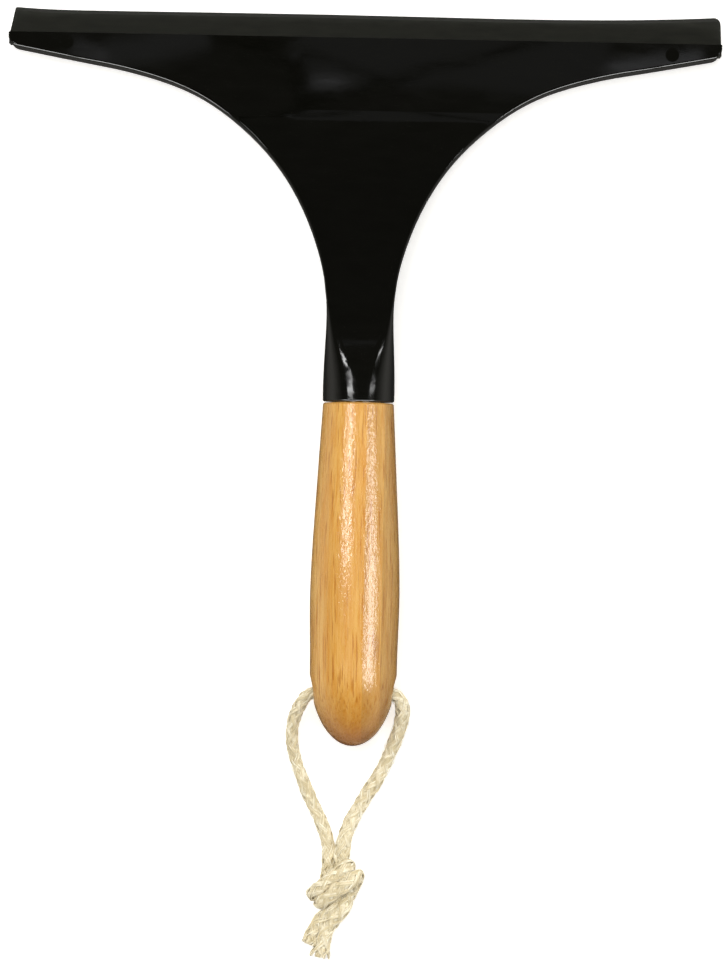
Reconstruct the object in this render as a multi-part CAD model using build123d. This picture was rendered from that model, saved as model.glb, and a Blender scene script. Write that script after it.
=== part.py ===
from build123d import *
import os
from math import cos, pi, radians, tan

# Window cleaning squeegee, lying on its back on a flat surface.
# Millimetres.  +Y points at the rubber, +X along it, +Z up.  The origin is under the middle of the
# tool, on the surface.  A "station" is a distance from the joint between handle and head, along +Y.

# Driving sizes
HEAD_WIDTH = 250.0  # head and rubber, tip to tip
HEAD_LENGTH = 127.5  # from the joint to the bar's outer edge
HANDLE_LENGTH = 120.0  # wood below the joint
LIP = 8.5  # rubber beyond the bar
BELLY_RADIUS = 15.65  # fattest part of the handle, which touches the surface
NECK_RADIUS = 12.5
BAR_THICKNESS = 12.0
WALL = 2.5

JOINT_Y = HANDLE_LENGTH - (HANDLE_LENGTH + HEAD_LENGTH + LIP) / 2
AXIS_Z = BELLY_RADIUS  # the handle's centre line
CLEAR = 0.1  # gap between a part and the one it slides or drops into

# Head: half widths of the plan outline at its stations
NECK = [(0, NECK_RADIUS), (10, 12.4), (18, 12.05), (27, 11.65), (38, 12.2)]
FLANK = [
    (38, 12.2),
    (50.7, 14.6),
    (62.8, 18.8),
    (74.9, 24.8),
    (87.0, 33.6),
    (99.1, 46.6),
    (107.2, 59.2),
    (115.2, 82.7),
    (119.3, 104.8),
]
NECK_END = 38.0  # the rounded neck meets the flat-sided head here
NECK_STRAIGHT = 11.0  # the neck is a true cylinder up to here
CROWN_END = 102.0  # the front face is level from here to the bar's edge
BACK_START = 60.0  # the back is flat from here to the bar's edge
WING_ANGLE = 10.6  # slope of a wing's lower edge, in degrees
TIP_RADIUS = 3.6
EDGE_RADIUS = 0.8
NECK_RIM_RADIUS = 0.6  # rounding of the neck's lower rim
SINK_MARKS = ((-104.5, 124.2), (107.5, 123.6))  # X, station of two shallow dimples near the tips
SINK_RADIUS = 2.4
SINK_DEPTH = 0.1

# Blade channel, a T slot along the bar's outer edge
SLOT_WIDTH = 3.0
SLOT_DEPTH = 1.6
TEE_WIDTH = 6.4
TEE_DEPTH = 2.2
CHANNEL_Z = BAR_THICKNESS / 2

# Rubber
BEVEL = 1.3  # length of the bevel at the wiping edge
LIP_EDGE = 1.4  # thickness left at the wiping edge
LEFT_END_SLANT = 1.9
LEFT_END_ROUND = 0.8
RIGHT_END_SLANT = 0.4
RIGHT_END_ROUND = 2.3
LIP_FLARE = [(-115, 0.35), (-92, 0.05), (0, 0.15), (90, 0.2), (108, 0.8)]  # X, growth of the lip
LEFT_FLARE = 0.8
RIGHT_FLARE = 1.7

# Hollow, cover and pegs
LEDGE = 1.2  # shelf that the cover rests on
COVER = 2.5  # thickness of the cover
HOLLOW_START = 50.0
HOLLOW_END = 119.0
RIB = 1.6
RIB_PLACES = (-54, -27, 0, 27, 54)
PEG_PLACES = ((0, 72), (-40, 110), (40, 110))  # X, station
PEG_RADIUS = 2.0
PEG_LENGTH = 5.0
BOSS_RADIUS = 4.2

# Handle
TENON_RADIUS = 8.0
TENON_LENGTH = 34.0
HANDLE_TOP_RADIUS = 12.35
HANDLE_CHAMFER = 0.5
GLUE_GAP = 0.4  # the wood stops this far short of the neck
HANDLE_BULGE = [(12, 13.0), (30, 14.0), (50, 15.08), (70, 15.62), (93, 15.2)]  # from the joint
DOME_LENGTH = 27.0
QUARTER_ELLIPSE = 0.5523  # how far along its side a quarter ellipse's handle reaches
LAMINATIONS = ("outer_left", "left", "middle", "right", "outer_right")
LAMINATION_WIDTH = 6.25
HOLE_RADIUS = 3.5
HOLE_FROM_END = 19.0
COUNTERSINK_START = 12.9  # distance from the axis where the hole begins to open out

# Cord
CORD_RADIUS = 2.4
HOLE_Y = JOINT_Y - HANDLE_LENGTH + HOLE_FROM_END
LEFT_LEG = [
    (0, HOLE_Y, AXIS_Z),
    (-7.5, HOLE_Y, AXIS_Z),
    (-15.2, -109.4, 15.2),
    (-19.2, -115.0, 12.1),
    (-21.3, -122.3, 8.0),
    (-20.9, -129.8, 4.7),
    (-19.0, -136.6, 3.0),
    (-16.4, -143.2, 2.6),
    (-13.3, -149.8, 2.7),
    (-10.0, -156.3, 2.9),
    (-7.6, -163.8, 3.6),
]
RIGHT_LEG = [
    (0, HOLE_Y, AXIS_Z),
    (7.5, HOLE_Y, AXIS_Z),
    (15.2, -109.3, 15.3),
    (18.0, -114.8, 12.0),
    (16.9, -121.4, 8.2),
    (14.6, -128.0, 4.9),
    (12.1, -134.4, 3.1),
    (9.0, -140.6, 2.6),
    (5.4, -146.2, 2.8),
    (2.1, -151.8, 3.4),
    (-0.9, -157.6, 4.4),
    (-2.6, -163.8, 5.6),
]
KNOT_CENTRE = (-4.8, -176.5, 6.4)
KNOT_HALF_SIZE = (8.2, 13.0, 6.3)
TAIL_START = (-6.8, -184.0, 2.7)
TAIL_END = (-11.2, -203.0, 2.7)
TAIL_SECTION = (10.2, 4.9)


def at(station):
    """Y of a station."""
    return JOINT_Y + station


def ease(station, start, end):
    """1 before start, 0 after end, and a smooth fall between them."""
    part = min(max((station - start) / (end - start), 0), 1)
    return 0.5 + 0.5 * cos(pi * part)


def front(station):
    """Height of the head's front face."""
    return BAR_THICKNESS + (AXIS_Z + NECK_RADIUS - BAR_THICKNESS) * ease(station, NECK_STRAIGHT, CROWN_END)


def back(station):
    """Height of the head's back."""
    return (AXIS_Z - NECK_RADIUS) * ease(station, NECK_STRAIGHT, BACK_START)


def flank_points(inset):
    """Points of the right flank, moved inwards square to its curve."""
    rise = tan(radians(WING_ANGLE))
    curve = Spline(*[(x, at(s)) for s, x in FLANK], tangents=[(0.09, 1), (1, rise)])
    points = []
    for i in range(len(FLANK)):
        part = i / (len(FLANK) - 1)
        here, along = curve @ part, curve % part
        points.append((here.X - inset * along.Y, here.Y + inset * along.X))
    return points


def head_outline(inset=0.0):
    """Plan outline of the head beyond its neck, on the XY plane, moved inwards by inset."""
    half = HEAD_WIDTH / 2 - inset
    edge_y = at(HEAD_LENGTH) - inset
    rise = tan(radians(WING_ANGLE))
    points = flank_points(inset)
    root_y = points[0][1]
    wing_x, wing_y = points[-1]
    corner = (half, wing_y + (half - wing_x) * rise)
    flank = Spline(*points, tangents=[(0.09, 1), (1, rise)])
    rest = Polyline(points[-1], corner, (half, edge_y), (0, edge_y), (0, root_y), points[0])
    right = make_face([flank, rest])
    whole = right + mirror(right, about=Plane.YZ)
    if inset:
        return whole
    tips = whole.vertices().filter_by(lambda v: abs(v.Y - corner[1]) < CLEAR)
    return fillet(tips, TIP_RADIUS)


def side_profile(inset=0.0):
    """Side outline of the head beyond its neck, on the YZ plane."""
    stations = [NECK_END, 50, 62, 74, 86, CROWN_END]
    top = Spline(*[(at(s), front(s) - inset) for s in stations], tangents=[(1, -0.22), (1, 0)])
    bottom = Spline(*[(at(s), back(s)) for s in (NECK_END, 48, BACK_START)], tangents=[(1, -0.08), (1, 0)])
    bar_top = Line(top @ 1, (at(HEAD_LENGTH), BAR_THICKNESS - inset))
    bar_edge = Line(bar_top @ 1, (at(HEAD_LENGTH), 0))
    flat_back = Line(bar_edge @ 1, bottom @ 1)
    neck_side = Line(bottom @ 0, top @ 0)
    return Plane.YZ * make_face([top, bar_top, bar_edge, flat_back, bottom, neck_side])


def neck():
    """The neck: a cylinder at the joint, easing into the head's rounded rectangle."""
    sections = []
    for station, half_width in NECK:
        high, low = front(station), back(station)
        rounding = EDGE_RADIUS + (NECK_RADIUS - 0.05 - EDGE_RADIUS) * ease(station, 0, NECK_END)
        size = min(2 * half_width, high - low)
        place = Plane(origin=(0, at(station), (high + low) / 2), x_dir=(1, 0, 0), z_dir=(0, 1, 0))
        corner = min(rounding, size / 2 - 0.05)
        sections.append(place * RectangleRounded(2 * half_width, high - low, corner))
    solid = loft(sections)
    rim = solid.edges().filter_by(lambda e: max(abs((e @ t).Y - at(0)) for t in (0, 0.5, 1)) < CLEAR)
    return fillet(rim, NECK_RIM_RADIUS)


def head_form():
    """The head's whole outer form, before it is hollowed."""
    plate = extrude(head_outline(), AXIS_Z + NECK_RADIUS) & extrude(side_profile(), HEAD_WIDTH, both=True)
    rims = []
    for edge in plate.edges():
        middle = edge @ 0.5
        station = middle.Y - JOINT_Y
        across = abs((edge @ 0).Y - (edge @ 1).Y) < CLEAR
        level = min(abs(middle.Z - front(station)), abs(middle.Z - back(station)))
        if level < 2 * CLEAR and not across:
            rims.append(edge)
    return fillet(rims, EDGE_RADIUS) + neck()


def channel():
    """The T slot for the rubber, open at both ends and along the bar's edge."""
    length = 2 * HEAD_WIDTH
    slot = Pos(0, at(HEAD_LENGTH), CHANNEL_Z) * Box(length, 2 * SLOT_DEPTH, SLOT_WIDTH)
    tee_y = at(HEAD_LENGTH - SLOT_DEPTH - TEE_DEPTH / 2)
    return slot + Pos(0, tee_y, CHANNEL_Z) * Box(length, TEE_DEPTH, TEE_WIDTH)


def inner_outline(inset, start, end):
    """The head's plan outline moved inwards, kept between two stations."""
    band = Pos(0, at((start + end) / 2)) * Rectangle(HEAD_WIDTH, end - start)
    return head_outline(inset) & band


def hollow():
    """The space inside the head, less its ribs and bosses."""
    shelf = WALL + LEDGE
    plan = inner_outline(shelf, HOLLOW_START, HOLLOW_END)
    space = extrude(plan, AXIS_Z + NECK_RADIUS) & extrude(side_profile(WALL), HEAD_WIDTH, both=True)
    height = 2 * (AXIS_Z + NECK_RADIUS)
    for x in RIB_PLACES:
        space -= Pos(x, at(HEAD_LENGTH / 2), COVER + height / 2) * Box(RIB, 2 * HEAD_LENGTH, height)
    for x, station in PEG_PLACES:
        space -= Pos(x, at(station), COVER + height / 2) * Cylinder(BOSS_RADIUS, height)
    return space


def cover_plan(clearance):
    """Plan of the cover in the head's back, or of the recess that takes it."""
    return inner_outline(WALL + clearance, BACK_START + 2 + clearance, HOLLOW_END + LEDGE - clearance)


def pegs(radius, length):
    """Pegs standing on the cover's inner face."""
    group = [Pos(x, at(s), COVER + length / 2) * Cylinder(radius, length) for x, s in PEG_PLACES]
    return group[0] + group[1] + group[2]


def sink_marks():
    """Balls whose lowest caps leave the shallow dimples in the front face."""
    ball = (SINK_RADIUS**2 + SINK_DEPTH**2) / (2 * SINK_DEPTH)
    return [Pos(x, at(s), BAR_THICKNESS - SINK_DEPTH + ball) * Sphere(ball) for x, s in SINK_MARKS]


def head_body():
    """Moulded head: neck with the handle's socket, front face, walls, ribs, bosses and blade channel."""
    body = head_form() - channel() - hollow() - sink_marks()
    body -= extrude(cover_plan(0), COVER)
    body -= pegs(PEG_RADIUS + CLEAR / 2, PEG_LENGTH + 1)
    socket = Cylinder(TENON_RADIUS + CLEAR, 2 * (TENON_LENGTH + 1), rotation=(90, 0, 0))
    return body - Pos(0, JOINT_Y, AXIS_Z) * socket


def back_cover():
    """Flat cover with its pegs, which closes the head's hollow."""
    return extrude(cover_plan(CLEAR), COVER) + pegs(PEG_RADIUS, PEG_LENGTH)


def rubber_plan(setback=0.0):
    """Plan of the lip: it flares at both ends, the left cut on a slant and the right rounded off."""
    half = HEAD_WIDTH / 2
    inner = at(HEAD_LENGTH - SLOT_DEPTH - CLEAR)
    outer = at(HEAD_LENGTH + LIP - setback)
    left = (LEFT_END_SLANT - half, outer + LEFT_FLARE)
    right = (half - RIGHT_END_SLANT, outer + RIGHT_FLARE)
    edge = Spline(left, *[(x, outer + flare) for x, flare in LIP_FLARE], right)
    left_end = Polyline(left, (-half, at(HEAD_LENGTH)), (-half, inner))
    right_end = Polyline((-half, inner), (half, inner), (half, at(HEAD_LENGTH)), right)
    shape = make_face([edge, left_end, right_end])
    for corner, radius in ((left, LEFT_END_ROUND), (right, RIGHT_END_ROUND)):
        shape = fillet(shape.vertices().sort_by_distance(corner)[0], radius)
    return shape


def rubber_blade():
    """Wiping rubber: a T root in the channel, a flat lip and a bevelled edge."""
    half_web = SLOT_WIDTH / 2 - CLEAR
    middle = extrude(rubber_plan(), LIP_EDGE / 2, both=True)
    upper = loft([Pos(0, 0, LIP_EDGE / 2) * rubber_plan(), Pos(0, 0, half_web) * rubber_plan(BEVEL)])
    lip = middle + upper + mirror(upper, about=Plane.XY)
    root = Box(HEAD_WIDTH, TEE_DEPTH - 2 * CLEAR, TEE_WIDTH - 2 * CLEAR)
    return Pos(0, 0, CHANNEL_Z) * (lip + Pos(0, at(HEAD_LENGTH - SLOT_DEPTH - TEE_DEPTH / 2)) * root)


def handle_form():
    """The turned handle with its tenon, before it is cut into laminations."""
    top = (HANDLE_TOP_RADIUS, -GLUE_GAP - HANDLE_CHAMFER)
    bulge = Spline(top, *[(r, -s) for s, r in HANDLE_BULGE], tangents=[(0.06, -1), (0, -1)])
    bevel = Line((HANDLE_TOP_RADIUS - HANDLE_CHAMFER, -GLUE_GAP), bulge @ 0)
    shoulder = Polyline((0, TENON_LENGTH), (TENON_RADIUS, TENON_LENGTH), (TENON_RADIUS, -GLUE_GAP), bevel @ 0)
    width, start = HANDLE_BULGE[-1][1], DOME_LENGTH - HANDLE_LENGTH
    side = (width, start - QUARTER_ELLIPSE * DOME_LENGTH)
    tip = (QUARTER_ELLIPSE * width, -HANDLE_LENGTH)
    dome = Bezier(bulge @ 1, side, tip, (0, -HANDLE_LENGTH))
    axis = Line(dome @ 1, shoulder @ 0)
    turned = revolve(make_face([shoulder, bevel, bulge, dome, axis]), Axis.Y)
    return Pos(0, JOINT_Y, AXIS_Z) * turned


def cord_hole():
    """The hole across the handle for the cord, opened out at both ends."""
    hole = Cylinder(HOLE_RADIUS, 4 * BELLY_RADIUS, rotation=(0, 90, 0))
    mouth = 3.0
    cone = Pos(0, 0, COUNTERSINK_START + mouth / 2) * Cone(HOLE_RADIUS, HOLE_RADIUS + mouth, mouth)
    hole += Rot(0, 90, 0) * cone + Rot(0, -90, 0) * cone
    return Pos(0, HOLE_Y, AXIS_Z) * hole


def laminations():
    """The handle's glued bamboo strips, from left to right."""
    blank = handle_form() - cord_hole()
    middle = (len(LAMINATIONS) - 1) / 2
    strips = {}
    for i, name in enumerate(LAMINATIONS):
        slab = Box(LAMINATION_WIDTH, 4 * HANDLE_LENGTH, 4 * BELLY_RADIUS)
        strips["bamboo_" + name] = blank & Pos((i - middle) * LAMINATION_WIDTH, 0, AXIS_Z) * slab
    return strips


def cord(name, route):
    """A plain tube along a route: straight runs joined by the largest tangent arcs that fit."""
    points = [Vector(*p) for p in route]
    radii = []
    for before, here, after in zip(points, points[1:], points[2:]):
        run_in, run_out = here - before, after - here
        turn = radians(run_in.get_angle(run_out))
        radii.append(0.45 * min(run_in.length, run_out.length) / tan(turn / 2))
    path = FilletPolyline(*points, radius=radii)
    tube = sweep(Plane(origin=path @ 0, z_dir=path % 0) * Circle(CORD_RADIUS), path=path)
    ideal = pi * CORD_RADIUS**2 * path.length
    print(name, "length", round(path.length, 1), "volume ratio", round(tube.volume / ideal, 4))
    print(name, "radii", [round(r, 1) for r in radii])
    return tube


def cord_knot():
    """Outer shape of the overhand knot, tied in both legs together."""
    return Pos(*KNOT_CENTRE) * scale(Sphere(1), by=KNOT_HALF_SIZE)


def cord_tails():
    """The two cut ends, side by side below the knot."""
    start, end = Vector(*TAIL_START), Vector(*TAIL_END)
    section = Plane(origin=start, x_dir=(1, 0, 0), z_dir=end - start)
    return extrude(section * SlotOverall(*TAIL_SECTION), (end - start).length)


def main():
    os.makedirs("parts", exist_ok=True)
    nodes = {
        "head_body": head_body(),
        "back_cover": back_cover(),
        "rubber_blade": rubber_blade(),
        **laminations(),
        "cord_left_leg": cord("cord_left_leg", LEFT_LEG),
        "cord_right_leg": cord("cord_right_leg", RIGHT_LEG),
        "cord_knot": cord_knot(),
        "cord_tails": cord_tails(),
    }
    for name, solid in nodes.items():
        export_step(solid, os.path.join("parts", name + ".step"))
        print(name, round(solid.volume, 1))


main()
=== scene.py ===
# A window cleaning squeegee lying on its back: glossy black head, matte rubber, lacquered bamboo handle
# and a knotted loop of braided cotton cord.  Everything is in metres, in the frame of the CAD model.

import math
import random

import bpy
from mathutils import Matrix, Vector


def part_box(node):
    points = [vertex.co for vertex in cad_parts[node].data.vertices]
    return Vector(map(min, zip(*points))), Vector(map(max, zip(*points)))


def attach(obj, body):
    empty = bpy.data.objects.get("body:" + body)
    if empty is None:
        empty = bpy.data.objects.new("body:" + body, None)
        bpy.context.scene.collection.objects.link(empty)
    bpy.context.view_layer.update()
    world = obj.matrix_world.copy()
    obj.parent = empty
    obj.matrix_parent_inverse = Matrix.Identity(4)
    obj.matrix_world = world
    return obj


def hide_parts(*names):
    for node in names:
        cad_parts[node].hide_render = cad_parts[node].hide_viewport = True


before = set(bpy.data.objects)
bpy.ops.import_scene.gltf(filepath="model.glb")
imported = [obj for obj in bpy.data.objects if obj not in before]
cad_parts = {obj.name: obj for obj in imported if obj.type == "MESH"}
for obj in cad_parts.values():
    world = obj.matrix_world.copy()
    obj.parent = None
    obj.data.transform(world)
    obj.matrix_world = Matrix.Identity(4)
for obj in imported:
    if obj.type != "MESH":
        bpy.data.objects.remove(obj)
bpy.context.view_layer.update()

MM = 0.001
JOINT_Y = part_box("bamboo_outer_left")[1].y  # where the wood meets the head


# ---------------------------------------------------------------- camera, light and floor

CAMERA_SPOT = (2.5 * MM, -37.6 * MM)  # straight above this point
CAMERA_HEIGHT = 1.2
VIEW_HEIGHT = 0.3443  # length of floor that the picture's height takes in
CAMERA_ROLL = 1.1  # degrees


def add_camera():
    """Looks straight down, from far enough away that the view is nearly flat."""
    data = bpy.data.cameras.new("camera")
    data.sensor_fit = "VERTICAL"
    data.sensor_height = 36.0
    data.lens = data.sensor_height * CAMERA_HEIGHT / VIEW_HEIGHT
    camera = bpy.data.objects.new("camera", data)
    bpy.context.scene.collection.objects.link(camera)
    camera.location = (*CAMERA_SPOT, CAMERA_HEIGHT)
    camera.rotation_euler = (0, 0, math.radians(CAMERA_ROLL))
    bpy.context.scene.camera = camera


def add_softbox(name, place, target, size, radiance, colour=(1, 1, 1)):
    """A rectangular light. size is its level side, then the side that leans towards the tool."""
    data = bpy.data.lights.new(name, "AREA")
    data.shape = "RECTANGLE"
    data.size, data.size_y = size
    data.energy = radiance * math.pi * size[0] * size[1]
    data.color = colour
    light = bpy.data.objects.new(name, data)
    bpy.context.scene.collection.objects.link(light)
    light.location = place
    light.rotation_euler = (Vector(place) - Vector(target)).to_track_quat("Z", "Y").to_euler()
    return light


HANDLE, NECK, BAR = (0, -0.05, 0.02), (0, 0, 0.02), (0, 0.1, 0)
SOFTBOXES = (  # for the streaks on the handle and the cord: name, place, target, size and radiance
    ("softbox_left", (-0.47, 0.10, 1.0), HANDLE, (0.22, 0.26), 14),
    ("softbox_right", (0.76, -0.13, 0.84), HANDLE, (0.50, 0.36), 10),
)
STRIP_LIGHTS = (  # for the gleams on the head's neck and along its edges, in the same way
    ("neck_left", (-0.475, -0.035, 1.06), NECK, (0.05, 0.36), 15),
    ("neck_right", (0.74, -0.075, 0.86), NECK, (0.04, 0.30), 11),
    ("edge_strip", (0, -1.15, 0.72), BAR, (2.4, 0.5), 17),
    ("far_strip", (0, 1.3, 0.45), (0, 0.12, 0), (2.4, 0.25), 5),
)


def add_lights(head, rest):
    """Softboxes that only the handle and cord see, strips that only the head sees, and a wide fill."""
    for pieces, lights in ((rest, SOFTBOXES), (head, STRIP_LIGHTS)):
        for name, place, target, size, radiance in lights:
            light = add_softbox(name, place, target, size, radiance)
            group = bpy.data.collections.new("lit_by_" + name)
            for piece in pieces:
                group.objects.link(piece)
            light.light_linking.receiver_collection = group
    fill = add_softbox("fill", (-0.2, 0.45, 1.75), (0, 0, 0), (1.8, 1.8), 3.75, (1.0, 0.985, 0.95))
    fill.visible_glossy = False


PANEL_HEIGHT = 1.25
STRUT_DROP = 0.01  # how far under the panels the struts hang
PANELS = (  # centre, size, turn in degrees and radiance of the dim panels overhead, in metres
    ((0.060, 0.270), (0.220, 0.044), -3, 0.11),
    ((-0.014, 0.267), (0.080, 0.034), 8, 0.85),
    ((0.050, 0.268), (0.060, 0.026), -12, 0.22),
    ((-0.150, 0.275), (0.070, 0.022), 14, 0.17),
    ((-0.195, 0.268), (0.040, 0.012), -10, 0.35),
    ((0.205, 0.268), (0.070, 0.014), 10, 0.60),
)
STRUTS = (  # the corners and the width of the dark struts just under the panels, in metres
    (((-0.120, 0.292), (-0.056, 0.268), (-0.034, 0.226)), 0.016),
    (((0.130, 0.286), (0.014, 0.251), (-0.060, 0.226)), 0.005),
    (((-0.066, 0.279), (0.014, 0.251)), 0.004),
)


def add_overhead_panels():
    """Dim cool panels that the flat of the head mirrors."""
    for i, ((x, y), size, turn, radiance) in enumerate(PANELS):
        place, below = (x, y, PANEL_HEIGHT), (x, y, 0)
        panel = add_softbox("panel_" + str(i), place, below, size, radiance, (0.93, 0.95, 1.0))
        panel.rotation_euler.z = math.radians(turn)


def add_struts():
    """Dark flat struts across the panels."""
    material, nodes, links, shader = new_material("strut")
    shader.inputs["Base Color"].default_value = (0.004, 0.004, 0.004, 1)
    shader.inputs["Roughness"].default_value = 0.9
    z = PANEL_HEIGHT - STRUT_DROP
    verts, faces = [], []
    for corners, width in STRUTS:
        for start, end in zip(corners, corners[1:]):
            start, end = Vector(start), Vector(end)
            side = (end - start).normalized().orthogonal() * width / 2
            faces.append(range(len(verts), len(verts) + 4))
            corners_of_bar = (start - side, start + side, end + side, end - side)
            verts += [(corner.x, corner.y, z) for corner in corners_of_bar]
    mesh = bpy.data.meshes.new("struts")
    mesh.from_pydata(verts, [], faces)
    mesh.materials.append(material)
    struts = bpy.data.objects.new("struts", mesh)
    bpy.context.scene.collection.objects.link(struts)


def add_world():
    """Dark above and below, with a lighter band round the horizon."""
    world = bpy.data.worlds.new("studio")
    world.use_nodes = True
    nodes, links = world.node_tree.nodes, world.node_tree.links
    direction = nodes.new("ShaderNodeTexCoord")
    parts = nodes.new("ShaderNodeSeparateXYZ")
    links.new(direction.outputs["Generated"], parts.inputs["Vector"])
    above = spread(nodes, links, parts.outputs["Z"], 0.05, 0.6, 0.60, 0.04)
    below = spread(nodes, links, parts.outputs["Z"], -0.7, -0.1, 0.1, 1.0)
    glow = times(nodes, links, above, below)
    background = nodes["Background"]
    background.inputs["Color"].default_value = (1.0, 0.97, 0.90, 1)
    links.new(glow, background.inputs["Strength"])
    bpy.context.scene.world = world
    bpy.context.scene.view_settings.view_transform = "Standard"


def add_floor():
    """A round pale floor that curves up into a low wall far from the tool."""
    radius, bend, wall, steps, turns = 7.0, 0.5, 1.0, 8, 96
    profile = [(0.0, 0.0), (radius, 0.0)]
    for i in range(1, steps + 1):
        angle = math.pi / 2 * i / steps
        profile.append((radius + bend * math.sin(angle), bend * (1 - math.cos(angle))))
    profile.append((radius + bend, bend + wall))
    verts = [(r * math.cos(2 * math.pi * t / turns), r * math.sin(2 * math.pi * t / turns), z)
             for r, z in profile[1:] for t in range(turns)]
    verts.append((0, 0, 0))
    faces = [(len(verts) - 1, t, (t + 1) % turns) for t in range(turns)]
    for ring in range(len(profile) - 2):
        for t in range(turns):
            a, b = ring * turns + t, ring * turns + (t + 1) % turns
            faces.append((a, a + turns, b + turns, b))
    mesh = bpy.data.meshes.new("floor")
    mesh.from_pydata(verts, [], faces)
    mesh.shade_smooth()
    floor = bpy.data.objects.new("floor", mesh)
    bpy.context.scene.collection.objects.link(floor)
    floor.visible_glossy = False
    mesh.materials.append(floor_material())


def floor_material():
    """Plain pale floor, with a little light of its own so that shadows on it stay faint."""
    material, nodes, links, shader = new_material("floor")
    shader.inputs["Base Color"].default_value = (0.93, 0.93, 0.93, 1)
    shader.inputs["Roughness"].default_value = 0.7
    shader.inputs["Emission Color"].default_value = (1, 0.99, 0.97, 1)
    shader.inputs["Emission Strength"].default_value = 0.55
    return material


# ---------------------------------------------------------------- materials

def new_material(name):
    """A material with an empty Principled shader: (material, nodes, links, shader)."""
    material = bpy.data.materials.new(name)
    material.use_nodes = True
    nodes, links = material.node_tree.nodes, material.node_tree.links
    return material, nodes, links, nodes["Principled BSDF"]


def place_on(nodes, links, scale, turn=(0, 0, 0)):
    """Object coordinates, turned and scaled."""
    coordinates = nodes.new("ShaderNodeTexCoord")
    mapping = nodes.new("ShaderNodeMapping")
    mapping.inputs["Scale"].default_value = scale
    mapping.inputs["Rotation"].default_value = turn
    links.new(coordinates.outputs["Object"], mapping.inputs["Vector"])
    return mapping.outputs["Vector"]


def noise(nodes, links, vector, scale=1.0, detail=3.0, roughness=0.55):
    """Noise from 0 to 1 at a vector's place."""
    texture = nodes.new("ShaderNodeTexNoise")
    texture.inputs["Scale"].default_value = scale
    texture.inputs["Detail"].default_value = detail
    texture.inputs["Roughness"].default_value = roughness
    links.new(vector, texture.inputs["Vector"])
    return texture.outputs["Fac"]


def spread(nodes, links, value, low, high, to_low=0.0, to_high=1.0):
    """Stretches the range low to high of a value to to_low to to_high, and keeps it inside."""
    node = nodes.new("ShaderNodeMapRange")
    node.inputs["From Min"].default_value = low
    node.inputs["From Max"].default_value = high
    node.inputs["To Min"].default_value = to_low
    node.inputs["To Max"].default_value = to_high
    links.new(value, node.inputs["Value"])
    return node.outputs["Result"]


def mix(nodes, links, factor, a, b):
    """Mixes two colours by a factor from 0 to 1. a and b are colours or outputs."""
    node = nodes.new("ShaderNodeMix")
    node.data_type = "RGBA"
    links.new(factor, node.inputs["Factor"])
    for socket, value in ((node.inputs["A"], a), (node.inputs["B"], b)):
        if isinstance(value, tuple):
            socket.default_value = (*value, 1)
        else:
            links.new(value, socket)
    return node.outputs["Result"]


def times(nodes, links, a, b):
    """The product of two values."""
    node = nodes.new("ShaderNodeMath")
    node.operation = "MULTIPLY"
    links.new(a, node.inputs[0])
    links.new(b, node.inputs[1])
    return node.outputs["Value"]


def bump(nodes, links, height, distance, under=None):
    """Normals bumped by a height from 0 to 1 that stands for 0 to distance, on top of the bump under it."""
    node = nodes.new("ShaderNodeBump")
    node.inputs["Strength"].default_value = 1.0
    node.inputs["Distance"].default_value = distance
    links.new(height, node.inputs["Height"])
    if under is not None:
        links.new(under, node.inputs["Normal"])
    return node.outputs["Normal"]


HAND_REACH = 28 * MM  # how far up the neck hands have dulled the plastic


def gloss_black():
    """Moulded black plastic: nearly mirror-smooth, slightly wavy, with faint wipe marks, and duller
    by the handle, where hands hold it."""
    material, nodes, links, shader = new_material("gloss_black_plastic")
    wipes = noise(nodes, links, place_on(nodes, links, (90, 260, 90), (0, 0, 0.5)), detail=5)
    colour = mix(nodes, links, wipes, (0.0009, 0.0009, 0.0006), (0.0019, 0.0019, 0.0014))
    links.new(colour, shader.inputs["Base Color"])
    parts = nodes.new("ShaderNodeSeparateXYZ")
    links.new(place_on(nodes, links, (1, 1, 1)), parts.inputs["Vector"])
    held = spread(nodes, links, parts.outputs["Y"], JOINT_Y, JOINT_Y + HAND_REACH, 4.0, 1.0)
    dull = spread(nodes, links, wipes, 0.35, 0.75, 0.02, 0.06)
    links.new(times(nodes, links, dull, held), shader.inputs["Roughness"])
    waves = noise(nodes, links, place_on(nodes, links, (30, 30, 30)), detail=1)
    grain = noise(nodes, links, place_on(nodes, links, (2600, 2600, 2600)), detail=2)
    soft = bump(nodes, links, waves, 0.05 * MM)
    links.new(bump(nodes, links, grain, 0.001 * MM, under=soft), shader.inputs["Normal"])
    return material


def blade_rubber():
    """Dark grey rubber with a matt, slightly dusty skin and faint drag lines along the blade."""
    material, nodes, links, shader = new_material("blade_rubber")
    dust = noise(nodes, links, place_on(nodes, links, (120, 700, 400)), detail=6, roughness=0.7)
    fine = noise(nodes, links, place_on(nodes, links, (3500, 3500, 3500)), detail=2)
    dusty = spread(nodes, links, dust, 0.3, 0.8)
    colour = mix(nodes, links, dusty, (0.0052, 0.0054, 0.0038), (0.0125, 0.013, 0.0094))
    links.new(colour, shader.inputs["Base Color"])
    links.new(spread(nodes, links, dust, 0.3, 0.7, 0.5, 0.66), shader.inputs["Roughness"])
    shader.inputs["Specular IOR Level"].default_value = 0.3
    drag = noise(nodes, links, place_on(nodes, links, (15, 2400, 2400)), detail=2)
    skin = bump(nodes, links, fine, 0.02 * MM)
    links.new(bump(nodes, links, drag, 0.015 * MM, under=skin), shader.inputs["Normal"])
    return material


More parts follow.
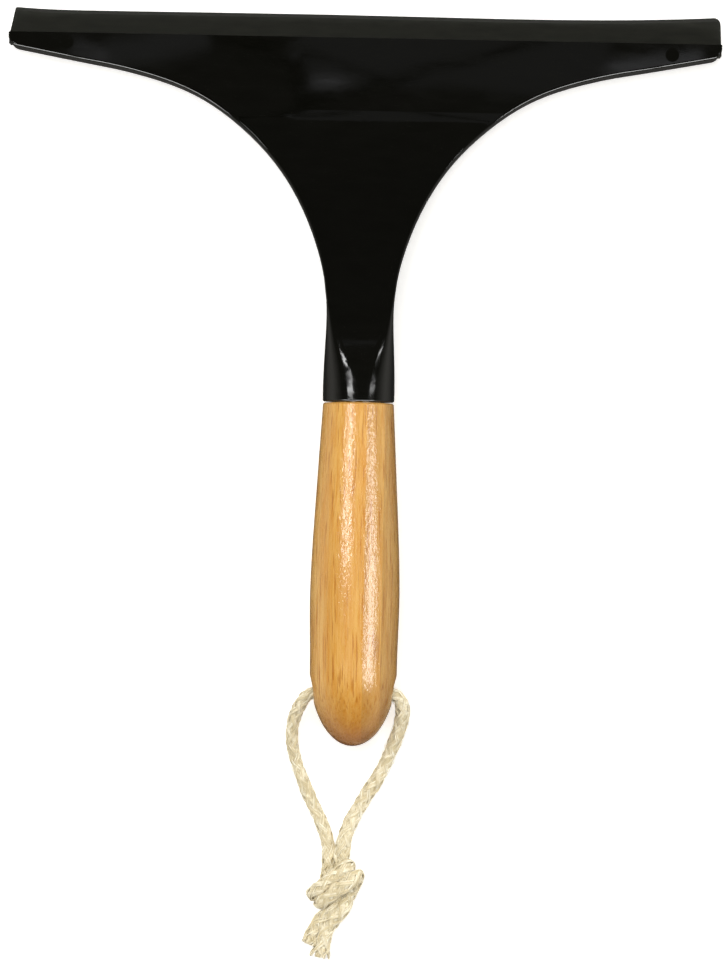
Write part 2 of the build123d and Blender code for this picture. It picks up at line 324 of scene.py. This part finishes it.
def bamboo_colour(nodes, links, pale, deep, seed):
    """Fibre bundles running along Y, darker where the wood is cut across, partly end grain and partly
    painted shade on the end that faces -Y: (colour, the streaks' height).
    """
    move = nodes.new("ShaderNodeVectorMath")
    move.inputs[1].default_value = (seed * 5.3, seed * 12.7, seed * 3.1)
    links.new(place_on(nodes, links, (1250, 48, 1250)), move.inputs[0])
    along = move.outputs["Vector"]
    tone = noise(nodes, links, place_on(nodes, links, (190, 9, 190), (0, 0, 0.01 * seed)), 1.0, 2)
    base = mix(nodes, links, spread(nodes, links, tone, 0.35, 0.65), pale, deep)
    streaks = noise(nodes, links, along, 1.0, 3, 0.65)
    streak = (deep[0] * 0.93, deep[1] * 0.76, deep[2] * 0.42)
    lined = mix(nodes, links, spread(nodes, links, streaks, 0.42, 0.62, 0.0, 0.7), base, streak)
    bundles = noise(nodes, links, along, 1.35, 1, 0.3)
    fleck = (deep[0] * 0.6, deep[1] * 0.38, deep[2] * 0.16)
    flecked = mix(nodes, links, spread(nodes, links, bundles, 0.60, 0.70, 0.0, 0.6), lined, fleck)
    # The end that faces -Y is darker: partly end grain, partly painted shade where that end turns away from
    # the light.
    facing = nodes.new("ShaderNodeSeparateXYZ")
    links.new(nodes.new("ShaderNodeNewGeometry").outputs["Normal"], facing.inputs["Vector"])
    end_grain_and_shade_mask = spread(nodes, links, facing.outputs["Y"], -0.75, -0.08, 0.95, 0.0)
    end_grain_and_shade = (deep[0] * 0.52, deep[1] * 0.33, deep[2] * 0.03)
    return mix(nodes, links, end_grain_and_shade_mask, flecked, end_grain_and_shade), streaks


def bamboo(name, pale, deep, seed):
    """Lacquered bamboo: a fine grain in the wood, and ripples in the lacquer that break up its gleams."""
    material, nodes, links, shader = new_material("bamboo_" + name)
    colour, streaks = bamboo_colour(nodes, links, pale, deep, seed)
    links.new(colour, shader.inputs["Base Color"])
    fine = noise(nodes, links, place_on(nodes, links, (1350, 210, 1350)), 1.0, 4, 0.7)
    links.new(spread(nodes, links, fine, 0.35, 0.65, 0.18, 0.42), shader.inputs["Roughness"])
    grain = bump(nodes, links, fine, 0.09 * MM)
    links.new(bump(nodes, links, streaks, 0.06 * MM, under=grain), shader.inputs["Normal"])
    shader.inputs["Coat Weight"].default_value = 0.8
    shader.inputs["Coat Roughness"].default_value = 0.06
    ripples = noise(nodes, links, place_on(nodes, links, (1150, 500, 1150)), 1.0, 2, 0.5)
    links.new(bump(nodes, links, ripples, 0.18 * MM), shader.inputs["Coat Normal"])
    return material


def cotton():
    """Undyed cotton: cream strands with fibres that twist along them, their tones partly the cotton's own
    and partly painted shade between the yarns.
    """
    material, nodes, links, shader = new_material("cotton_cord")
    uv = nodes.new("ShaderNodeUVMap")
    uv.uv_map = "strand"
    mapping = nodes.new("ShaderNodeMapping")
    mapping.inputs["Rotation"].default_value = (0, 0, 0.12)
    mapping.inputs["Scale"].default_value = (6, 0.4, 1)
    links.new(uv.outputs["UV"], mapping.inputs["Vector"])
    yarn = noise(nodes, links, mapping.outputs["Vector"], 1.0, 4, 0.65)
    soil = noise(nodes, links, place_on(nodes, links, (220, 220, 220)), 1.0, 4)
    # Per-yarn tones and darker fibre streaks: partly the cotton's own tone, partly painted shade where the
    # yarns lie in each other's shadow.
    island = nodes.new("ShaderNodeNewGeometry").outputs["Random Per Island"]
    pale = mix(nodes, links, island, (0.62, 0.53, 0.33), (1.0, 0.97, 0.83))
    base = mix(nodes, links, spread(nodes, links, yarn, 0.40, 0.60), (0.56, 0.47, 0.28), pale)
    colour = mix(nodes, links, spread(nodes, links, soil, 0.45, 0.8, 0, 0.35), base, (0.76, 0.66, 0.45))
    links.new(colour, shader.inputs["Base Color"])
    shader.inputs["Roughness"].default_value = 0.9
    shader.inputs["Sheen Weight"].default_value = 0.25
    shader.inputs["Sheen Roughness"].default_value = 0.5
    links.new(bump(nodes, links, yarn, 0.12 * MM), shader.inputs["Normal"])
    return material


STRIPS = (  # the handle's strips from left to right, with their palest and deepest colours
    ("outer_left", (0.66, 0.39, 0.110), (0.55, 0.29, 0.066)),
    ("left", (0.65, 0.37, 0.092), (0.54, 0.275, 0.055)),
    ("middle", (0.66, 0.375, 0.096), (0.55, 0.28, 0.056)),
    ("right", (0.58, 0.335, 0.094), (0.47, 0.25, 0.058)),
    ("outer_right", (0.46, 0.265, 0.070), (0.38, 0.20, 0.045)),
)


def dress_cad():
    """Gives the CAD pieces their materials: (the head's pieces, the handle's strips)."""
    black = gloss_black()
    head, strips = [], []
    for name, material in (("head_body", black), ("back_cover", black), ("rubber_blade", blade_rubber())):
        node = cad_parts[name]
        node.material_slots[0].material = material
        head.append(node)
    for seed, (name, pale, deep) in enumerate(STRIPS):
        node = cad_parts["bamboo_" + name]
        node.material_slots[0].material = bamboo(name, pale, deep, seed + 1)
        strips.append(node)
    return head, strips


# ---------------------------------------------------------------- cord

CORD_RADIUS = 2.4 * MM
LEFT_RADIUS, RIGHT_RADIUS = 0.92 * CORD_RADIUS, 1.04 * CORD_RADIUS  # it is slimmer on the left
STRANDS = 8  # half of them wind one way and half the other
YARNS = 5  # side by side in each strand
YARN = 0.42 * MM
YARN_GAP = 0.92 * YARN  # from one yarn to the next in a strand
YARN_WIDTH, YARN_THICKNESS = 1.12, 0.92  # of a yarn's section, as parts of its girth
CORE_INSET = 1.3 * YARN  # how deep under the cord's surface its solid core begins
BRAID_PITCH = 24.0 * MM  # length of one full turn of a strand
STEP = 0.6 * MM  # between the rings of a yarn
OVERLAP = 2  # rings by which a leg, the knot and a tail reach into each other
LUMPS = ((0.05, 5.1 * MM), (0.035, 2.3 * MM))  # how much the cord's radius waves, and over what length
SINK = 0.86  # in yarns, how deep under the cord's surface a yarn's middle runs
RISE = 0.34  # in yarns, how far it rises from there over a strand and dips under it
LEVEL = 0.3  # in yarns, how much the yarns differ in depth, and how much one wanders in depth
WANDER_LENGTH = 3.1 * MM
SIDE_WANDER, SIDE_LENGTH = 0.16 * YARN, 2.2 * MM  # how far a yarn wanders sideways, and over what length
SWELL = 0.16  # how much fatter the cords are in the knot
SWELL_REACH = 16 * MM
FRAY = 0.35  # how far the yarns open out at the cut ends
FRAY_REACH = 6 * MM
FRAY_ENDS = 7  # yarns end up to this many rings short of the cut
FIBRE = 0.07 * MM  # thickness of a loose fibre
FIBRES_PER_MM = 5  # along the cord
FIBRE_LENGTH = (1.2, 3.4)  # least and most, in mm
FIBRE_RISE = (0.15, 0.6)  # how high they arch off the cord, least and most, in mm
LEFT_LEG = (
    (0, -109, 15.65),
    (-7.5, -109, 15.65),
    (-15.2, -109.4, 15.2),
    (-19.2, -115.0, 12.1),
    (-21.3, -122.3, 8.0),
    (-20.9, -129.8, 4.7),
    (-19.0, -136.6, 3.0),
    (-16.4, -143.2, 2.6),
    (-13.3, -149.8, 2.7),
    (-10.0, -156.3, 2.9),
    (-7.6, -163.8, 3.6),
)
RIGHT_LEG = (
    (0, -109, 15.65),
    (7.5, -109, 15.65),
    (15.2, -109.3, 15.3),
    (18.0, -114.8, 12.0),
    (16.9, -121.4, 8.2),
    (14.6, -128.0, 4.9),
    (12.1, -134.4, 3.1),
    (9.0, -140.6, 2.6),
    (5.4, -146.2, 2.8),
    (2.1, -151.8, 3.4),
    (-0.9, -157.6, 4.4),
    (-2.6, -163.8, 5.6),
)
KNOT_CENTRE = (-4.8, -176.5, 6.4)
# The two cords run side by side through the knot: a point between them, measured from the knot's
# centre, and from there to the right leg's cord.
KNOT = (
    ((-0.2, 7.0, -2.2), (2.1, 0.0, 0.4)),
    ((-0.8, 1.0, -3.2), (2.0, 0.0, 0.0)),
    ((-3.0, -4.8, -3.3), (1.6, -1.2, 0.0)),
    ((-6.3, -6.2, -2.4), (1.3, -1.6, 0.0)),
    ((-6.4, -5.6, 1.8), (1.3, -1.6, 0.0)),
    ((-2.4, -1.6, 4.2), (1.3, -1.6, 0.0)),
    ((3.6, 2.6, 4.2), (1.3, -1.7, 0.0)),
    ((6.4, 4.6, 0.6), (1.3, -1.7, 0.0)),
    ((4.6, 0.6, -1.2), (1.6, -1.2, 0.0)),
    ((2.0, -4.8, -1.6), (2.0, -0.4, 0.0)),
    ((1.0, -9.8, -0.8), (2.0, 0.2, 0.0)),
)
TAILS = (
    ((-3.6, -14.2, -2.9), (1.9, -0.3, 0.0)),
    ((-5.6, -18.8, -3.1), (1.9, -0.7, 0.0)),
    ((-7.2, -24.8, -2.7), (2.1, -2.3, 0.0)),
)


def smooth_line(points):
    """The points of a NURBS line that has these control points, in metres."""
    curve = bpy.data.curves.new("route", "CURVE")
    curve.dimensions = "3D"
    spline = curve.splines.new("NURBS")
    spline.points.add(len(points) - 1)
    for control, (x, y, z) in zip(spline.points, points):
        control.co = (x * MM, y * MM, z * MM, 1)
    spline.order_u = 3
    spline.use_endpoint_u = True
    spline.resolution_u = 16
    holder = bpy.data.objects.new("route", curve)
    mesh = bpy.data.meshes.new_from_object(holder)
    line = [vertex.co.copy() for vertex in mesh.vertices]
    bpy.data.objects.remove(holder)
    bpy.data.curves.remove(curve)
    bpy.data.meshes.remove(mesh)
    return line


def even_points(line, step):
    """Points at even distances along a line."""
    lengths = [0.0]
    for a, b in zip(line, line[1:]):
        lengths.append(lengths[-1] + (b - a).length)
    count = max(2, round(lengths[-1] / step))
    points, i = [], 0
    for n in range(count + 1):
        distance = lengths[-1] * n / count
        while i < len(line) - 2 and lengths[i + 1] < distance:
            i += 1
        run = lengths[i + 1] - lengths[i]
        points.append(line[i].lerp(line[i + 1], (distance - lengths[i]) / run if run else 0))
    return points


def directions(points):
    """The line's direction at each point."""
    ends = [points[0], *points, points[-1]]
    return [(after - before).normalized() for before, after in zip(ends, ends[2:])]


def frames_along(points):
    """For each point a pair of directions square to the line, carried along without twist."""
    along = directions(points)
    side = Vector((0, 0, 1))
    pairs = []
    for direction in along:
        side = (side - direction * side.dot(direction)).normalized()
        pairs.append((side.copy(), direction.cross(side)))
    return pairs


class Tubes:
    """Collects thin tubes into one mesh, with a map that runs round and along each of them."""

    def __init__(self):
        self.verts, self.faces, self.maps = [], [], []

    def add(self, points, outs, width, thickness, sizes, around=6, start_at=0.0):
        """A closed tube along points, thickness deep in the directions outs. sizes scale its rings."""
        start, run = len(self.verts), [start_at]
        for a, b in zip(points, points[1:]):
            run.append(run[-1] + (b - a).length / MM)
        last_ring = len(points) - 1
        for point, out, direction, size in zip(points, outs, directions(points), sizes):
            out = (out - direction * out.dot(direction)).normalized()
            across = direction.cross(out)
            for k in range(around):
                angle = 2 * math.pi * k / around
                offset = across * (math.cos(angle) * width / 2) + out * (math.sin(angle) * thickness / 2)
                self.verts.append(point + offset * size)
        for i in range(last_ring):
            for k in range(around):
                a, b = start + i * around + k, start + i * around + (k + 1) % around
                self.faces.append((a, b, b + around, a + around))
                u0, u1 = k / around, (k + 1) / around
                self.maps += [(u0, run[i]), (u1, run[i]), (u1, run[i + 1]), (u0, run[i + 1])]
        end = start + last_ring * around
        for cap in (range(start + around - 1, start - 1, -1), range(end, end + around)):
            self.faces.append(tuple(cap))
            self.maps += [(0.5, run[-1])] * around

    def finish(self, name, material):
        """Makes the mesh, as a piece that rides on the cord loop's body."""
        mesh = bpy.data.meshes.new(name)
        mesh.from_pydata(self.verts, [], self.faces)
        layer = mesh.uv_layers.new(name="strand")
        for corner, value in zip(layer.data, self.maps):
            corner.uv = value
        mesh.shade_smooth()
        piece = bpy.data.objects.new(name, mesh)
        bpy.context.scene.collection.objects.link(piece)
        mesh.materials.append(material)
        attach(piece, "cord_loop")
        return piece


def braid(line, radii, phase, rng):
    """The cord's yarns, each a list of (point, outward direction) for the points of its line.

    Strands wind both ways round the line, over and under each other, and each strand is a flat
    band of yarns. radii are the cord's radius at each point."""
    sides = frames_along(line)
    per_way = STRANDS // 2
    starts = [rng.uniform(0, 2 * math.pi) for _ in range(3)]
    yarns = []
    for n in range(STRANDS):
        way = 1 if n % 2 else -1
        for m in range(YARNS):
            drift = rng.uniform(0, 2 * math.pi)
            level = rng.uniform(-LEVEL, LEVEL)
            place = (m - (YARNS - 1) / 2) * YARN_GAP
            yarn = []
            for i, (a, b) in enumerate(sides):
                run = i * STEP
                turn = 2 * math.pi * run / BRAID_PITCH
                lumps = 1
                for (size, length), start in zip(LUMPS, starts):
                    lumps += size * math.sin(run / length + start)
                over = way * math.cos(per_way * turn)
                wander = LEVEL * math.sin(run / WANDER_LENGTH + drift)
                reach = radii[i] * lumps - YARN * (SINK - RISE * over - level - wander)
                angle = phase + way * turn + 2 * math.pi * (n // 2) / per_way
                angle += (place + SIDE_WANDER * math.sin(run / SIDE_LENGTH + 2 * drift)) / reach
                out = a * math.cos(angle) + b * math.sin(angle)
                yarn.append((line[i] + out * reach, out))
            yarns.append(yarn)
    return yarns


def fuzz(tubes, line, radius, rng):
    """Loose fibres that stand off the cord's surface, none of them into the floor."""
    sides, along = frames_along(line), directions(line)
    for _ in range(round(FIBRES_PER_MM * len(line) * STEP / MM)):
        i = rng.randrange(len(line))
        angle = rng.uniform(0, 2 * math.pi)
        out = sides[i][0] * math.cos(angle) + sides[i][1] * math.sin(angle)
        lean = along[i] * rng.uniform(-1, 1) + out.cross(along[i]) * rng.uniform(-0.8, 0.8)
        length, rise = rng.uniform(*FIBRE_LENGTH) * MM, rng.uniform(*FIBRE_RISE) * MM
        root = line[i] + out * (radius - 0.3 * MM)
        points = []
        for k in range(5):
            part = k / 4
            arch = math.sin(part * math.pi * rng.uniform(0.75, 0.95))
            points.append(root + lean * length * (part - 0.5) + out * (0.1 * MM + rise * arch))
        if min(point.z for point in points) > 0.1 * MM:
            tubes.add(points, [out] * len(points), FIBRE, FIBRE, (0.6, 1, 1, 1, 0.4), around=3)


def near(i, first, last, reach):
    """1 from one point's number to another's, falling smoothly to 0 at this distance beyond them."""
    part = max(0.0, 1 - max(first - i, i - last, 0) * STEP / reach)
    return part * part * (3 - 2 * part)


def route_points(leg_route, sign):
    """A cord's control points along its leg, its side of the knot and its tail."""
    route = list(leg_route)
    for middle, side in KNOT + TAILS:
        route.append(tuple(Vector(KNOT_CENTRE) + Vector(middle) + Vector(side) * sign))
    return route


def piece_ends(line, leg_end, knot_end):
    """The numbers of the line's points where its leg, its knot and its tail begin or end."""
    ends = [0]
    for mark in (leg_end, knot_end):
        ends.append(min(range(len(line)), key=lambda i: (line[i] - Vector(mark) * MM).length))
    return ends + [len(line) - 1]


def tucked_in(sizes, at_start, at_end):
    """Ring sizes that shrink over the last two rings of an end that lies inside the next piece."""
    sizes = list(sizes)
    if at_start:
        sizes[0] *= 0.5
        sizes[1] *= 0.8
    if at_end:
        sizes[-2] *= 0.8
        sizes[-1] *= 0.5
    return sizes


def whole_cord(leg_route, sign, radius, phase, seed):
    """One cord from the hole through the knot to its cut end, as pieces of tubes and its leg's line.

    phase turns the braid about the line, and seed is for its small irregularities."""
    rng = random.Random(seed)
    route = route_points(leg_route, sign)
    line = even_points(smooth_line(route), STEP)
    cuts = piece_ends(line, leg_route[-1], route[-len(TAILS)])
    swell = [1 + SWELL * near(i, cuts[1], cuts[2], SWELL_REACH) for i in range(len(line))]
    fray = [FRAY * near(i, cuts[3], cuts[3], FRAY_REACH) for i in range(len(line))]
    yarns = braid(line, [radius * (a + b) for a, b in zip(swell, fray)], phase, rng)
    girths = [YARN * rng.uniform(0.85, 1.15) for _ in yarns]
    inward = [side for side, _ in frames_along(line)]
    core = 2 * (radius - CORE_INSET)
    parts = []
    for first, last in zip(cuts, cuts[1:]):
        tubes = Tubes()
        low, high = max(first - OVERLAP, 0), min(last + OVERLAP, len(line) - 1)
        sizes = tucked_in(swell[low:high + 1], low < first, high > last)
        tubes.add(line[low:high + 1], inward[low:high + 1], core, core, sizes, around=8)
        for yarn, girth in zip(yarns, girths):
            run = yarn[low:high + 1 - (rng.randrange(FRAY_ENDS) if high == last else 0)]
            tubes.add([p for p, _ in run], [o for _, o in run], girth * YARN_WIDTH,
                      girth * YARN_THICKNESS, sizes, start_at=low * STEP / MM)
        fuzz(tubes, line[first:last + 1], radius, rng)
        parts.append(tubes)
    return parts, line[:cuts[1] + 1]


def join(a, b):
    """Adds the tubes of b to a."""
    base = len(a.verts)
    a.verts += b.verts
    a.faces += [tuple(i + base for i in face) for face in b.faces]
    a.maps += b.maps
    return a


def add_cord():
    """The loop, the knot tied in both its ends together, and the two cut ends."""
    material = cotton()
    (left_leg, left_knot, left_tail), left_line = whole_cord(LEFT_LEG, -1, LEFT_RADIUS, 0.4, 11)
    (right_leg, right_knot, right_tail), right_line = whole_cord(RIGHT_LEG, 1, RIGHT_RADIUS, 1.1, 12)
    knot = join(left_knot, right_knot).finish("knot", material)
    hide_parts("cord_knot")
    tails = join(left_tail, right_tail).finish("tails", material)
    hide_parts("cord_tails")
    pieces = [knot, tails]
    for name, tubes, line in (("left", left_leg, left_line), ("right", right_leg, right_line)):
        piece = tubes.finish(name + "_leg", material)
        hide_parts("cord_" + name + "_leg")
        pieces.append(piece)
    return pieces


add_camera()
add_world()
add_floor()
pieces = add_cord()
head, strips = dress_cad()
add_lights(head, strips + pieces)
add_overhead_panels()
add_struts()
